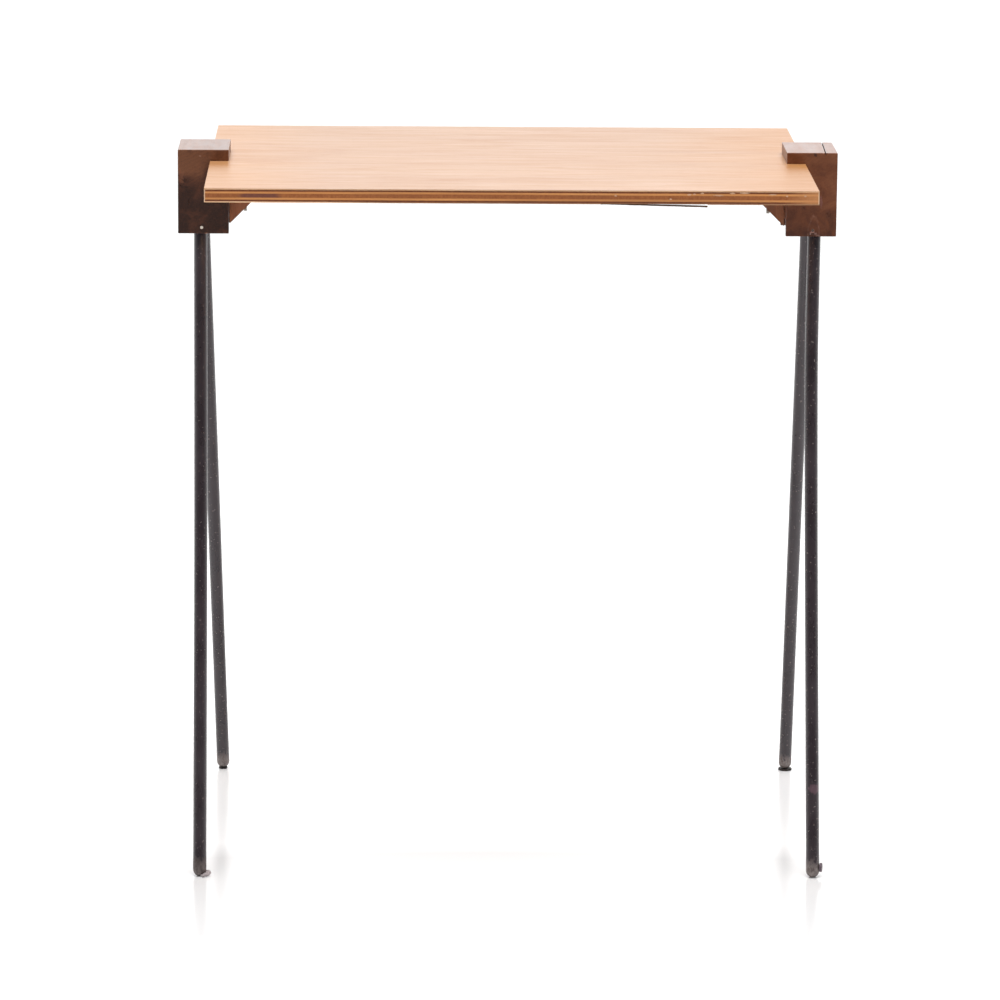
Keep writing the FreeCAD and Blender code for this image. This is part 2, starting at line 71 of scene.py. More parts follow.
class Finish:
    """A material under way. Patterns are laid out on the piece's own points, in metres."""

    def __init__(self, name, **settings):
        self.material = bpy.data.materials.new(name)
        self.material.use_nodes = True
        self.tree = self.material.node_tree
        self.shader = self.tree.nodes["Principled BSDF"]
        for name_of_socket, value in settings.items():
            self.set(name_of_socket.replace("_", " "), value)

    def feed(self, socket, value):
        if isinstance(value, bpy.types.NodeSocket):
            self.tree.links.new(value, socket)
        else:
            socket.default_value = value

    def set(self, socket, value):
        self.feed(self.shader.inputs[socket], value)

    def node(self, kind, sockets=(), **settings):
        made = self.tree.nodes.new("ShaderNode" + kind)
        for name, value in settings.items():
            setattr(made, name, value)
        for name, value in dict(sockets).items():
            self.feed(made.inputs[name], value)
        return made

    def points(self, stretch=(1, 1, 1), turn=(0, 0, 0), move=(0, 0, 0)):
        """The piece's points, stretched, turned and moved in that order."""
        place = self.node("TexCoord").outputs["Object"]
        sockets = {"Vector": place, "Scale": stretch, "Rotation": turn, "Location": move}
        return self.node("Mapping", sockets).outputs["Vector"]

    def axis(self, letter, points=None):
        """How far along X, Y or Z each point is."""
        place = points or self.node("TexCoord").outputs["Object"]
        return self.node("SeparateXYZ", {"Vector": place}).outputs[letter]

    def facing(self, letter):
        """1 where the surface looks along that axis, either way, and 0 where it looks across it."""
        normal = self.node("TexCoord").outputs["Normal"]
        return self.maths("ABSOLUTE", self.node("SeparateXYZ", {"Vector": normal}).outputs[letter])

    def noise(self, points, scale, detail=3.0, roughness=0.5, distortion=0.0):
        sockets = {"Vector": points, "Scale": scale, "Detail": detail}
        sockets.update({"Roughness": roughness, "Distortion": distortion})
        return self.node("TexNoise", sockets).outputs[0]

    def bands(self, points, scale, distortion, detail=2.0, across="Y"):
        sockets = {"Vector": points, "Scale": scale, "Distortion": distortion, "Detail": detail}
        return self.node("TexWave", sockets, bands_direction=across).outputs["Fac"]

    def maths(self, operation, first, second=0.0, clamp=False):
        made = self.node("Math", operation=operation, use_clamp=clamp)
        self.feed(made.inputs[0], first)
        self.feed(made.inputs[1], second)
        return made.outputs[0]

    def spread(self, value, low, high, to_low=0.0, to_high=1.0):
        """value from low to high, changed to run from to_low to to_high and held there."""
        sockets = {"Value": value, "From Min": low, "From Max": high}
        sockets.update({"To Min": to_low, "To Max": to_high})
        return self.node("MapRange", sockets).outputs["Result"]

    def between(self, value, low, high, soft):
        """1 where value lies from low to high, fading to 0 over the soft width on either side."""
        rising = self.spread(value, low - soft, low)
        falling = self.spread(value, high, high + soft, 1.0, 0.0)
        return self.maths("MULTIPLY", rising, falling)

    def from_centre(self, centre, radii):
        """How far each point is from the middle of an ellipsoid: 0 there and 1 at its skin."""
        stretch = tuple(1 / radius for radius in radii)
        away = tuple(-place * scale for place, scale in zip(centre, stretch))
        length = self.node("VectorMath", {0: self.points(stretch, move=away)}, operation="LENGTH")
        return length.outputs["Value"]

    def spot(self, centre, radii, ragged=0.0, grain=400.0):
        """1 inside an ellipsoid, fading to 0 at its ragged skin."""
        distance = self.from_centre(centre, radii)
        if ragged:
            torn = self.spread(self.noise(self.points(), grain), 0.3, 0.7, -ragged, ragged)
            distance = self.maths("ADD", distance, torn)
        return self.spread(distance, 0.75, 1.0, 1.0, 0.0)

    def halo(self, centre, radii):
        """1 along the skin of an ellipsoid, fading to 0 on either side of it."""
        return self.between(self.from_centre(centre, radii), 0.9, 1.0, 0.1)

    def either(self, *masks):
        """The strongest of several masks."""
        strongest = masks[0]
        for mask in masks[1:]:
            strongest = self.maths("MAXIMUM", strongest, mask)
        return strongest

    def ramp(self, value, *stops):
        """A colour that changes along value; each stop is a place from 0 to 1 and a colour."""
        made = self.node("ValToRGB", {"Fac": value})
        strip = made.color_ramp
        strip.elements.remove(strip.elements[1])
        strip.elements[0].position, strip.elements[0].color = stops[0]
        for place, colour in stops[1:]:
            strip.elements.new(place).color = colour
        return made.outputs["Color"]

    def blend(self, amount, first, second, how="MIX"):
        made = self.node("Mix", data_type="RGBA", blend_type=how, clamp_factor=True)
        self.feed(made.inputs[0], amount)
        self.feed(made.inputs[6], first)
        self.feed(made.inputs[7], second)
        return made.outputs[2]

    def relief(self, height, depth, under=None):
        """A surface raised by depth metres where height is 1."""
        made = self.node("Bump", {"Height": height, "Distance": depth, "Strength": 1.0})
        if under:
            self.feed(made.inputs["Normal"], under)
        return made.outputs["Normal"]

    def corners(self, radius):
        """1 along the piece's corners, within about that radius, and 0 on its flats."""
        rounded = self.node("Bevel", {"Radius": radius}, samples=4).outputs["Normal"]
        true = self.node("NewGeometry").outputs["Normal"]
        match = self.node("VectorMath", {0: rounded, 1: true}, operation="DOT_PRODUCT")
        return self.spread(match.outputs["Value"], 0.98, 0.8, 0.0, 1.0)


# ---------------------------------------------------------------- finishes


def veneer_finish(surface, lip):
    """Pale lacquered veneer with its grain along the table's length, more orange by the end blocks."""
    finish = Finish("pale_veneer", IOR=1.45)
    across = finish.axis("X")
    flame = finish.noise(finish.points((2.4, 15, 15)), 1.0, 4.0, 0.6, 0.9)
    streaks = finish.noise(finish.points((9, 120, 120)), 1.0, 4.0, 0.6, 0.9)
    threads = finish.noise(finish.points((14, 900, 900)), 1.0, 2.0)
    pores = finish.noise(finish.points((70, 1700, 1700), move=(3, 1, 2)), 1.0, 1.0)
    waves = finish.bands(finish.points((0.5, 1, 1)), 60.0, 9.0, 3.0)
    colour = finish.ramp(
        flame, (0.3, shade(160, 118, 86)), (0.5, shade(166, 127, 96)), (0.72, shade(172, 134, 104))
    )
    drift = finish.maths("ADD", across, finish.spread(flame, 0.3, 0.7, -0.03, 0.03))
    colour = finish.blend(finish.spread(drift, -lip + 0.09, -lip, 0.0, 0.9), colour, shade(176, 128, 84))
    colour = finish.blend(finish.spread(drift, lip - 0.12, lip, 0.0, 0.9), colour, shade(169, 117, 66))
    waved = finish.maths("MULTIPLY", finish.spot((-lip, 0.01, surface), (0.12, 0.09, 0.1), 0.3, 20.0), waves)
    colour = finish.blend(finish.maths("MULTIPLY", waved, 0.4), colour, shade(150, 100, 62))
    colour = finish.blend(finish.spread(streaks, 0.42, 0.72, 0.0, 0.3), colour, shade(156, 110, 72))
    colour = finish.blend(finish.spread(threads, 0.5, 0.8, 0.0, 0.35), colour, shade(184, 144, 110))
    colour = finish.blend(finish.spread(pores, 0.66, 0.74, 0.0, 0.5), colour, shade(130, 86, 54))
    height = finish.axis("Z")
    rim = finish.spread(height, surface - 0.0009, surface - 0.0002, 1.0, 0.0)
    edge = finish.blend(finish.spread(threads, 0.35, 0.6), shade(228, 168, 118), shade(250, 206, 164))
    past_left_end = finish.spread(drift, -0.2, -0.13)
    underneath = finish.spread(height, surface - 0.008, surface - 0.006, 0.8, 0.0)
    dulled = finish.maths("MULTIPLY", past_left_end, underneath)
    edge = finish.blend(dulled, edge, shade(132, 84, 50))
    colour = finish.blend(rim, colour, edge)
    finish.set("Base Color", colour)
    finish.set("Roughness", finish.spread(streaks, 0.3, 0.75, 0.3, 0.42))
    skin = finish.relief(streaks, 0.00002)
    skin = finish.relief(threads, 0.000015, skin)
    finish.set("Normal", finish.relief(finish.spread(pores, 0.66, 0.74, 1.0, 0.0), 0.00004, skin))
    return finish.material


def ply_finish(name, long_grain, end_grain, grain_along_length, chips, stained=0.0):
    """The edge of a ply: threads where its grain runs along the edge, and cut ends where it meets it.

    Both ends of the table differ along its length: the right end is pale and the left end may be stained.
    """
    pale_from, pale_to = 0.255, 0.285
    stain_from, stain_to = -0.254, -0.226
    finish = Finish(name, IOR=1.45)
    on_ends = finish.spread(finish.facing("X"), 0.3, 0.7)
    shows_long = finish.maths("SUBTRACT", 1.0, on_ends) if grain_along_length else on_ends
    across = finish.axis("X")
    threads = finish.noise(finish.points((9, 9, 1300)), 1.0, 3.0)
    cuts = finish.noise(finish.points((700, 700, 300)), 1.0, 3.0, 0.7)
    lengths = finish.noise(finish.points((7, 7, 90)), 1.0, 2.0)
    light, dark = long_grain
    long_colour = finish.blend(finish.spread(threads, 0.35, 0.65), light, dark)
    light, dark = end_grain
    end_colour = finish.blend(finish.spread(cuts, 0.35, 0.65), light, dark)
    colour = finish.blend(shows_long, end_colour, long_colour)
    colour = finish.blend(finish.spread(lengths, 0.4, 0.75, 0.0, 0.45), colour, shade(110, 62, 36))
    drift = finish.maths("ADD", across, finish.spread(lengths, 0.3, 0.7, -0.012, 0.012))
    colour = finish.blend(finish.spread(drift, pale_from, pale_to, 0.0, 0.7), colour, shade(204, 140, 88))
    stain = finish.between(drift, stain_from, stain_to, 0.006)
    colour = finish.blend(finish.maths("MULTIPLY", stain, stained), colour, shade(96, 54, 52))
    chipped = finish.either(*[finish.spot(centre, radii, 0.6, 1500.0) for centre, radii in chips])
    colour = finish.blend(finish.maths("MULTIPLY", chipped, 0.8), colour, shade(220, 178, 144))
    corner = finish.spread(finish.maths("MULTIPLY", finish.facing("X"), finish.facing("Y")), 0.08, 0.3)
    colour = finish.blend(finish.maths("MULTIPLY", corner, 0.8), colour, shade(240, 204, 168))
    finish.set("Base Color", colour)
    finish.set("Roughness", finish.spread(cuts, 0.3, 0.7, 0.42, 0.6))
    skin = finish.relief(cuts, 0.00012)
    skin = finish.relief(threads, 0.00008, skin)
    finish.set("Normal", finish.relief(chipped, -0.0003, skin))
    return finish.material


def block_finish(name, shades, surface, rise, side, marks, arches=()):
    """Lacquered walnut with its grain along the table's depth, so the front shows the ends of the grain.

    It is painted paler with height over the rise, over the side from dark to pale, and above the
    tabletop's surface: painted light where more light falls, with painted shade on the lower front.
    The marks are small spots and the arches are scraped rings, each with its centre, radii, strength
    and colour. The marks are worn spots, painted shade along the right block's crack and a painted sheen.
    """
    finish = Finish(name, IOR=1.36, Coat_Roughness=0.15)
    finish.set("Coat Weight", finish.spread(finish.facing("Z"), 0.5, 0.9, 0.0, 0.28))
    mottle = finish.noise(finish.points((55, 12, 55)), 1.0, 5.0, 0.6, 0.8)
    rings = finish.bands(finish.points((1, 0.12, 1), turn=(0, 0.5, 0)), 95.0, 6.0, 3.0, "Z")
    fibres = finish.noise(finish.points((1100, 40, 1100)), 1.0, 3.0, 0.6)
    pores = finish.noise(finish.points((1500, 90, 1500), move=(4, 0, 1)), 1.0, 1.0)
    height = finish.axis("Z")
    # Painted light: paler higher up, towards the outer side and above the tabletop's surface, so the lower
    # front stays in painted shade.
    painted_light = finish.maths("MULTIPLY", finish.spread(height, *rise), finish.spread(finish.axis("X"), *side))
    painted_light = finish.either(painted_light, finish.spread(height, surface - 0.006, surface + 0.002, 0.0, 0.9))
    tone = finish.maths("ADD", finish.spread(mottle, 0.32, 0.68, -0.42, 0.42), painted_light)
    colour = finish.ramp(tone, (0.0, shades[0]), (0.5, shades[1]), (1.0, shades[2]))
    colour = finish.blend(finish.spread(rings, 0.2, 0.9, 0.0, 0.12), colour, shades[0])
    colour = finish.blend(finish.spread(fibres, 0.45, 0.75, 0.0, 0.25), colour, shades[2])
    colour = finish.blend(finish.spread(pores, 0.64, 0.72, 0.0, 0.6), colour, shade(30, 16, 11))
    for centre, radii, strength, tint in marks:
        spot = finish.spot(centre, radii, 0.45, 700.0)
        colour = finish.blend(finish.maths("MULTIPLY", spot, strength), colour, tint)
    for centre, radii, strength, tint in arches:
        broken = finish.spread(finish.noise(finish.points(), 330.0, 3.0), 0.42, 0.62, 0.0, strength)
        line = finish.maths("MULTIPLY", finish.halo(centre, radii), broken)
        colour = finish.blend(line, colour, tint)
    worn = finish.maths("MULTIPLY", finish.corners(0.0012), finish.spread(mottle, 0.35, 0.6))
    colour = finish.blend(finish.maths("MULTIPLY", worn, 0.45), colour, shade(146, 96, 72))
    finish.set("Base Color", colour)
    finish.set("Roughness", finish.spread(mottle, 0.3, 0.7, 0.26, 0.4))
    skin = finish.relief(fibres, 0.00005)
    finish.set("Normal", finish.relief(mottle, 0.0002, skin))
    return finish.material


def gusset_finish(marks):
    """Plain hardwood redder than the blocks: slanting grain, dull edges, small spots, one a painted
    highlight.
    """
    finish = Finish("red_brown_wood", IOR=1.45)
    figure = finish.noise(finish.points((60, 60, 9), turn=(0, 0.78, 0)), 1.0, 3.0, 0.5, 0.4)
    fibres = finish.noise(finish.points((700, 700, 45), turn=(0, 0.78, 0)), 1.0, 3.0, 0.6)
    colour = finish.ramp(
        figure, (0.3, shade(124, 76, 48)), (0.52, shade(154, 97, 64)), (0.75, shade(180, 126, 98))
    )
    colour = finish.blend(finish.spread(fibres, 0.45, 0.7, 0.0, 0.5), colour, shade(112, 62, 36))
    for centre, radii, strength, tint in marks:
        spot = finish.spot(centre, radii, 0.4, 500.0)
        colour = finish.blend(finish.maths("MULTIPLY", spot, strength), colour, tint)
    rims = finish.maths("MULTIPLY", finish.corners(0.0018), 0.85)
    colour = finish.blend(rims, colour, shade(92, 78, 62))
    finish.set("Base Color", colour)
    finish.set("Roughness", finish.spread(fibres, 0.3, 0.7, 0.4, 0.55))
    finish.set("Normal", finish.relief(fibres, 0.0001))
    return finish.material


def rod_paint_finish(name, foot_height, dust, bare, patch=None):
    """Gloss black paint, dimpled and speckled with chips, rubbed to bare grey-brown steel at the foot."""
    finish = Finish(name, IOR=1.5, Coat_Weight=0.2, Coat_Roughness=0.12)
    height = finish.axis("Z")
    cloud = finish.noise(finish.points((60, 60, 22)), 1.0, 3.0)
    dimples = finish.noise(finish.points(), 520.0, 2.0)
    chips = finish.noise(finish.points(move=(1, 2, 3)), 420.0, 1.0)
    torn = finish.noise(finish.points((1, 1, 0.45)), 300.0, 4.0, 0.7)
    colour = finish.ramp(cloud, (0.35, shade(45, 36, 41)), (0.65, shade(57, 48, 53)))
    colour = finish.blend(dust, colour, shade(88, 78, 84))
    if patch:
        # A paler mauve patch on the paint, where one is given.
        mauve_mark = finish.maths("MULTIPLY", finish.spot(*patch, 0.25), 0.6)
        colour = finish.blend(mauve_mark, colour, shade(112, 84, 94))
    steel = finish.blend(finish.spread(torn, 0.35, 0.65), bare[0], bare[1])
    ragged_height = finish.maths("ADD", height, finish.spread(torn, 0.3, 0.7, -0.007, 0.007))
    rubbed = finish.spread(ragged_height, foot_height, foot_height + 0.006, 1.0, 0.0)
    chipped = finish.spread(chips, 0.7, 0.72)
    mask = finish.either(rubbed, chipped)
    finish.set("Base Color", finish.blend(mask, colour, steel))
    finish.set("Metallic", finish.maths("MULTIPLY", mask, 0.35))
    smooth = finish.spread(cloud, 0.3, 0.7, 0.22, 0.36)
    finish.set("Roughness", finish.maths("ADD", smooth, finish.maths("MULTIPLY", mask, 0.25)))
    skin = finish.relief(dimples, 0.0001)
    finish.set("Normal", finish.relief(mask, -0.00012, skin))
    return finish.material


def steel_finish(name, tint, tarnish, bright):
    """Plain steel, finely scratched, with a dull tarnish in patches; bright is how metallic it still is."""
    finish = Finish(name, Metallic=bright)
    patches = finish.noise(finish.points(), 700.0, 3.0, 0.6)
    scratches = finish.noise(finish.points((400, 4000, 4000)), 1.0, 2.0)
    colour = finish.blend(finish.spread(patches, 0.4, 0.65, 0.0, 0.7), tint, tarnish)
    finish.set("Base Color", colour)
    finish.set("Roughness", finish.spread(patches, 0.35, 0.65, 0.22, 0.5))
    finish.set("Normal", finish.relief(scratches, 0.00003))
    return finish.material


def pad_finish(name, shades):
    """Hard dark rubber, scuffed and dusty, darker round its rim."""
    finish = Finish(name, IOR=1.45)
    scuffs = finish.noise(finish.points(), 600.0, 4.0, 0.7)
    colour = finish.ramp(scuffs, (0.35, shades[0]), (0.55, shades[1]), (0.75, shades[2]))
    colour = finish.blend(finish.maths("MULTIPLY", finish.corners(0.0012), 0.85), colour, shade(48, 40, 42))
    finish.set("Base Color", colour)
    finish.set("Roughness", finish.spread(scuffs, 0.3, 0.7, 0.45, 0.7))
    finish.set("Normal", finish.relief(scuffs, 0.0002))
    return finish.material


def paint(node, material):
    """A CAD node keeps its shape and takes this finish."""
    mesh = nodes[node].data
    mesh.materials.clear()
    mesh.materials.append(material)


# ---------------------------------------------------------------- shaping the worn pieces


def whole_copy(node):
    """A copy of a CAD node's shape to work on, joined up, with its flat faces in one piece."""
    shape = bmesh.new()
    shape.from_mesh(nodes[node].data)
    bmesh.ops.remove_doubles(shape, verts=shape.verts[:], dist=0.00001)
    bmesh.ops.dissolve_limit(shape, angle_limit=0.01, verts=shape.verts[:], edges=shape.edges[:])
    return shape


def settle(name, shape, material, slot, body, *stands_for, crease=0.6):
    """Makes a finished shape a piece of the table, riding on a body in place of the CAD nodes named."""
    mesh = bpy.data.meshes.new(name)
    shape.to_mesh(mesh)
    shape.free()
    mesh.shade_smooth()
    mesh.set_sharp_from_angle(angle=crease)
    mesh.materials.append(material)
    piece = bpy.data.objects.new(name, mesh)
    scene.collection.objects.link(piece)
    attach(piece, body)
    if stands_for:
        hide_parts(*stands_for)
    return piece


def cut_rings(shape, direction, places):
    """Cuts the shape across at each place along a direction."""
    for place in places:
        everything = shape.verts[:] + shape.edges[:] + shape.faces[:]
        bmesh.ops.bisect_plane(shape, geom=everything, plane_co=direction * place, plane_no=direction)


def steps(low, high, gap):
    """Evenly spaced places between low and high."""
    count = max(2, round((high - low) / gap))
    return [low + (high - low) * number / count for number in range(1, count)]


def long_bar(low, high, gap):
    """A square bar between two corners, cut across along X every gap."""
    shape = bmesh.new()
    bmesh.ops.create_cube(shape, size=1.0)
    bmesh.ops.scale(shape, vec=high - low, verts=shape.verts[:])
    bmesh.ops.translate(shape, vec=(low + high) / 2, verts=shape.verts[:])
    cut_rings(shape, Vector((1, 0, 0)), steps(low.x, high.x, gap))
    return shape


def carve(shape, *cutters):
    """Takes the cutters' shapes out of a shape."""
    made = []
    for part in (shape, *cutters):
        mesh = bpy.data.meshes.new("carving")
        part.to_mesh(mesh)
        part.free()
        made.append(bpy.data.objects.new("carving", mesh))
        scene.collection.objects.link(made[-1])
    for cutter in made[1:]:
        cut = made[0].modifiers.new("cut", "BOOLEAN")
        cut.operation = "DIFFERENCE"
        cut.solver = "EXACT"
        cut.object = cutter
    carved = bmesh.new()
    carved.from_object(made[0], bpy.context.evaluated_depsgraph_get())
    for part in made:
        mesh = part.data
        bpy.data.objects.remove(part)
        bpy.data.meshes.remove(mesh)
    return carved


def bow_rod(shape, peak, push):
    """Bends a rod sideways by push at the peak height, and not at all at its ends."""
    low = min(vert.co.z for vert in shape.verts)
    high = max(vert.co.z for vert in shape.verts)
    cut_rings(shape, Vector((0, 0, 1)), steps(low, high, 0.015))
    for vert in shape.verts:
        end = low if vert.co.z < peak else high
        along = (vert.co.z - end) / (peak - end)
        vert.co.x += push * along * (4 - along**3) / 3


def reach_floor(shape, gap):
    """Stretches the lowest 30 mm of a rod down to the gap above the floor."""
    low = min(vert.co.z for vert in shape.verts)
    for vert in shape.verts:
        share = max(0.0, 1 - (vert.co.z - low) / 0.03)
        vert.co.z -= (low - gap) * share


def pad_disc(radius, thickness):
    """A rubber disc with softened rims, lying flat at the origin and a little uneven."""
    shape = bmesh.new()
    bmesh.ops.create_cone(
        shape, cap_ends=True, segments=40, radius1=radius, radius2=radius * 0.97, depth=thickness
    )
    rims = [edge for edge in shape.edges if abs(edge.verts[0].co.z - edge.verts[1].co.z) < thickness / 2]
    bmesh.ops.bevel(
        shape, geom=rims, offset=thickness * 0.22, segments=3, profile=0.5, affect="EDGES", material=-1
    )
    caps = [face for face in shape.faces if abs(face.normal.z) > 0.99]
    bmesh.ops.inset_individual(shape, faces=caps, thickness=radius * 0.25, depth=-thickness * 0.06)
    for vert in shape.verts:
        vert.co.x *= 1 + random.uniform(-0.012, 0.012)
        vert.co.y *= 1 + random.uniform(-0.012, 0.012)
    return shape


# ---------------------------------------------------------------- floor, lights and camera


def lay_floor():
    """A wide pale floor, faintly polished, glowing faintly except in a painted shade before the front feet.
    """
    mesh = bpy.data.meshes.new("studio_floor")
    shape = bmesh.new()
    bmesh.ops.create_grid(shape, x_segments=8, y_segments=8, size=20.0)
    shape.to_mesh(mesh)
    shape.free()
    floor = bpy.data.objects.new("studio_floor", mesh)
    scene.collection.objects.link(floor)
    finish = Finish("white_floor", IOR=1.45)
    cloud = finish.noise(finish.points(), 3.0, 2.0)
    finish.set("Base Color", finish.ramp(cloud, (0.3, shade(241, 241, 242)), (0.7, shade(246, 246, 246))))
    finish.set("Roughness", finish.spread(cloud, 0.3, 0.7, 0.16, 0.2))
    finish.set("Emission Color", (1.0, 1.0, 1.0, 1.0))
    # Painted shade: the floor glows less in a soft patch in front of the front feet.
    painted_shade_by_feet = finish.spot((0.0, -0.27, 0.0), (0.75, 0.2, 1.0))
    finish.set("Emission Strength", finish.spread(painted_shade_by_feet, 0.0, 1.0, 0.27, 0.03))
    mesh.materials.append(finish.material)


def soft_light(name, place, aim, width, height, power):
    """A large soft panel of light facing a point; the camera doesn't see it."""
    data = bpy.data.lights.new(name, "AREA")
    data.shape = "RECTANGLE"
    data.size, data.size_y = width, height
    data.energy = power
    lamp = bpy.data.objects.new(name, data)
    scene.collection.objects.link(lamp)
    lamp.location = place
    lamp.rotation_euler = (Vector(aim) - Vector(place)).to_track_quat("-Z", "Y").to_euler()
    lamp.visible_camera = False


def light_studio():
    """A dim white room with a bright low backdrop behind the table, and a wide panel of light above it."""
    world = bpy.data.worlds.new("studio_light")
    scene.world = world
    world.use_nodes = True
    tree = world.node_tree
    room = tree.nodes["Background"]
    room.inputs["Color"].default_value = (1.0, 1.0, 1.0, 1.0)
    direction = tree.nodes.new("ShaderNodeTexCoord")
    split = tree.nodes.new("ShaderNodeSeparateXYZ")
    tree.links.new(direction.outputs["Generated"], split.inputs["Vector"])
    parts = []
    to_the_back = ("Y", -0.8, 0.95, 0.22, BACKDROP_STRENGTH)
    up_high = ("Z", 0.3, 0.62, 1.0, 0.14)
    for letter, low, high, at_low, at_high in (to_the_back, up_high):
        part = tree.nodes.new("ShaderNodeMapRange")
        part.interpolation_type = "SMOOTHSTEP"
        part.inputs["From Min"].default_value = low
        part.inputs["From Max"].default_value = high
        part.inputs["To Min"].default_value = at_low
        part.inputs["To Max"].default_value = at_high
        tree.links.new(split.outputs[letter], part.inputs["Value"])
        parts.append(part.outputs["Result"])
    strength = tree.nodes.new("ShaderNodeMath")
    strength.operation = "MULTIPLY"
    tree.links.new(parts[0], strength.inputs[0])
    tree.links.new(parts[1], strength.inputs[1])
    tree.links.new(strength.outputs["Value"], room.inputs["Strength"])
    soft_light("panel_above", (0.1, -0.35, 2.6), (0.1, 0.0, 0.0), 2.6, 2.2, PANEL_WATTS)


def place_camera():
    """A long lens a little above the table's height, looking slightly down at its front."""
    data = bpy.data.cameras.new("camera")
    data.lens = LENS_MM
    data.sensor_width = 36.0
    data.clip_end = 60.0
    camera = bpy.data.objects.new("camera", data)
    scene.collection.objects.link(camera)
    pose = Matrix.Rotation(CAMERA_TURN, 4, "Z")
    pose @= Matrix.Rotation(math.pi / 2 - CAMERA_LOOKS_DOWN, 4, "X")
    pose @= Matrix.Rotation(CAMERA_TILT, 4, "Z")
    camera.matrix_world = Matrix.Translation(CAMERA_PLACE) @ pose
    scene.camera = camera


# ---------------------------------------------------------------- the tabletop

veneer_low, veneer_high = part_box("top_face_veneer")
surface = veneer_high.z
top_front = veneer_low.y
lip_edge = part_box("right_end_block")[0].x
# Each chip: right of the table's middle, below the surface, half its width and half its height.
edge_chips = [
    (Vector((along, top_front, surface - depth)), (half_width, 0.003, half_height))
    for along, depth, half_width, half_height in (
        (0.167, 0.0036, 0.0019, 0.0008),
        (0.1719, 0.0032, 0.0012, 0.0007),
        (0.1793, 0.0024, 0.0018, 0.0008),
        (0.1948, 0.0043, 0.0046, 0.0007),
        (0.2078, 0.0022, 0.0026, 0.0008),
        (0.2193, 0.0019, 0.0046, 0.0009),
        (0.2457, 0.0033, 0.0038, 0.0007),
        (0.2593, 0.0047, 0.0012, 0.0008),
        (0.2767, 0.0045, 0.0013, 0.0007),
        (0.0977, 0.005, 0.0012, 0.0008),
        (0.1496, 0.008, 0.0012, 0.0008),
    )
]
light_ply = (shade(220, 152, 88), shade(196, 124, 66))
dark_ply = (shade(122, 66, 30), shade(96, 50, 24))
core_ends = (shade(168, 100, 50), shade(146, 82, 38))
veneer = veneer_finish(surface, lip_edge)
cross_band = ply_finish("dark_cross_band", light_ply, dark_ply, False, edge_chips)
inner_ply = ply_finish("light_inner_ply", light_ply, dark_ply, True, edge_chips)
core = ply_finish("core_ply", light_ply, core_ends, False, edge_chips, 0.7)


def ply_sheet(name, node, material, slot, torn_out=None):
    """A ply with its four upright corners rounded off, and a strip torn out of it where one is named."""
    shape = whole_copy(node)
    low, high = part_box(node)
    corners = []
    for edge in shape.edges:
        first, second = (vert.co for vert in edge.verts)
        at_side = all(min(abs(end.x - low.x), abs(end.x - high.x)) < 0.0001 for end in (first, second))
        at_front = all(min(abs(end.y - low.y), abs(end.y - high.y)) < 0.0001 for end in (first, second))
        if at_side and at_front and abs(first.z - second.z) > 0.0005:
            corners.append(edge)
    bmesh.ops.bevel(shape, geom=corners, offset=0.0012, segments=4, profile=0.5, affect="EDGES", material=-1)
    if torn_out:
        shape = carve(shape, torn_out)
    return settle(name, shape, material, slot, "table", node, crease=0.02)


# The splinter hangs down towards its right end; its ends are measured right of the table's middle.
SPLINTER_START, SPLINTER_END, SPLINTER_DROP = 0.0836, 0.1845, 0.0015
under_low, under_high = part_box("bottom_face_veneer")
notch = long_bar(
    Vector((SPLINTER_START, top_front - 0.001, under_low.z - 0.001)),
    Vector((SPLINTER_END, top_front + 0.0024, under_low.z + 0.0006)),
    0.006,
)
for vert in notch.verts:
    if vert.co.y > top_front:
        vert.co.y += random.uniform(-0.0006, 0.0006)

ply_sheet("worn_top_veneer", "top_face_veneer", veneer, "face_veneer")
ply_sheet("worn_upper_cross_band", "upper_cross_band", cross_band, "dark_ply")
ply_sheet("worn_upper_inner_ply", "upper_inner_ply", inner_ply, "light_ply")
ply_sheet("worn_core_ply", "core_ply", core, "dark_ply")
ply_sheet("worn_lower_inner_ply", "lower_inner_ply", inner_ply, "light_ply")
ply_sheet("worn_lower_cross_band", "lower_cross_band", cross_band, "dark_ply")
ply_sheet("torn_bottom_veneer", "bottom_face_veneer", veneer, "face_veneer", notch)

splinter = long_bar(
    Vector((SPLINTER_START, top_front + 0.0001, under_low.z - 0.00005)),
    Vector((SPLINTER_END, top_front + 0.0023, under_low.z + 0.0006)),
    0.004,
)
for vert in splinter.verts:
    along = max(0.0, (vert.co.x - SPLINTER_START) / (SPLINTER_END - SPLINTER_START))
    if vert.co.z < under_low.z:
        vert.co.z -= 0.0009 * along + random.uniform(0.0, 0.0002)
    vert.co.z -= SPLINTER_DROP * along**1.15
    if vert.co.y > top_front + 0.001:
        vert.co.y -= 0.0012 * max(0.0, along - 0.8) / 0.2
bmesh.ops.bevel(
    splinter, geom=splinter.edges[:], offset=0.00008, segments=1, profile=0.5, affect="EDGES", material=-1
)
splinter_shades = (shade(84, 56, 32), shade(58, 38, 22))
splinter_wood = ply_finish("splinter_wood", splinter_shades, splinter_shades, True, edge_chips[:1])
settle("lifted_splinter", splinter, splinter_wood, "face_veneer", "table")

# ---------------------------------------------------------------- the end blocks


CRACK_WIDTH = 0.001
CRACK_DEPTH = 0.012
CRACK_FROM_OUTSIDE = 0.012
CRACK_DRIFT = 0.002
CRACK_RUN_IN = 0.012


